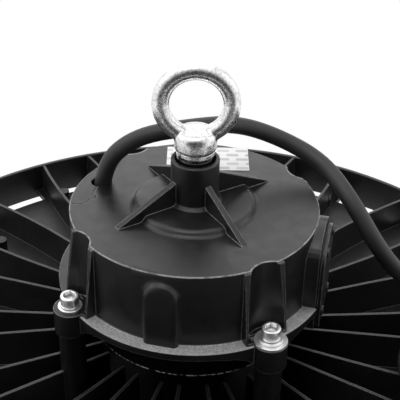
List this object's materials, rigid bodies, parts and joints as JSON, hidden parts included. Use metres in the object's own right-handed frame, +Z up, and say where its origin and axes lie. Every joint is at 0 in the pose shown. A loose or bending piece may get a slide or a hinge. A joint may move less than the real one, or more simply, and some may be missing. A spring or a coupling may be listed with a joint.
{
  "type": "high bay light",
  "caption": "Round LED high bay light with a finned black heat sink dish, a driver housing with a cable and a steel eye bolt.",
  "frame": {"origin": "on the lamp's axis, in the plane of the lens ring's flat underside, measured without the cable", "axes": "+Z up along the lamp's axis to the eye bolt; the eye's ring lies in the XZ plane; the side port faces mostly +X and the cable comes out towards -X"},
  "size_m": [0.3999, 0.399, 0.1828],
  "materials": {
    "black_rubber": "matte black rubber",
    "black_screw": "blackened steel",
    "board_green": "green solder mask",
    "board_white": "white solder mask on aluminium",
    "brass": "tinned core ends",
    "capacitor": "sleeved cans",
    "chip_yellow": "phosphor",
    "core_red": "insulated lead",
    "heat_sink": "satin black powder coat on die-cast aluminium",
    "housing": "satin black powder coat on die-cast aluminium, fine texture",
    "label": "printed film, left bare",
    "lens": "clear to milky polycarbonate",
    "screw_steel": "bright zinc-plated steel",
    "terminal": "white nylon",
    "tie": "black nylon",
    "transformer": "varnished core and tape",
    "tray": "satin black",
    "white_silicone": "white silicone",
    "zinc": "bright zinc plate on drop-forged steel"
  },
  "bodies": {
    "root": {"driver_housing": "housing", "cable_clamp": "housing", "eye_bolt": "zinc", "lock_washer": "zinc", "side_port_gasket": "black_rubber", "side_port_cover": "housing", "side_port_screws": "black_screw", "driver_tray": "tray", "tray_screws": "black_screw", "driver_board": "board_green", "board_posts": "screw_steel", "transformer": "transformer", "capacitors": "capacitor", "terminal_block": "terminal", "heat_sink": "heat_sink", "led_board": "board_white", "led_chips": "chip_yellow", "lens_plate": "lens", "lens_gasket": "white_silicone", "lens_ring": "tray", "lens_screws": "screw_steel", "power_cable": "black_rubber", "power_cable_coil": "black_rubber", "cable_cores": "brass", "cable_tie": "tie", "cable_bush": "black_rubber", "wire_sleeve": "black_rubber", "output_leads": "core_red", "rating_label": "label", "wide_washer_front_right": "screw_steel", "housing_screw_back_right": "screw_steel", "housing_washer_back_right": "screw_steel", "housing_screw_back_left": "screw_steel", "housing_washer_back_left": "screw_steel", "housing_screw_front_left": "screw_steel", "housing_washer_front_left": "screw_steel", "housing_screw_front_right": "screw_steel", "housing_washer_front_right": "screw_steel"}
  },
  "joints": []
}
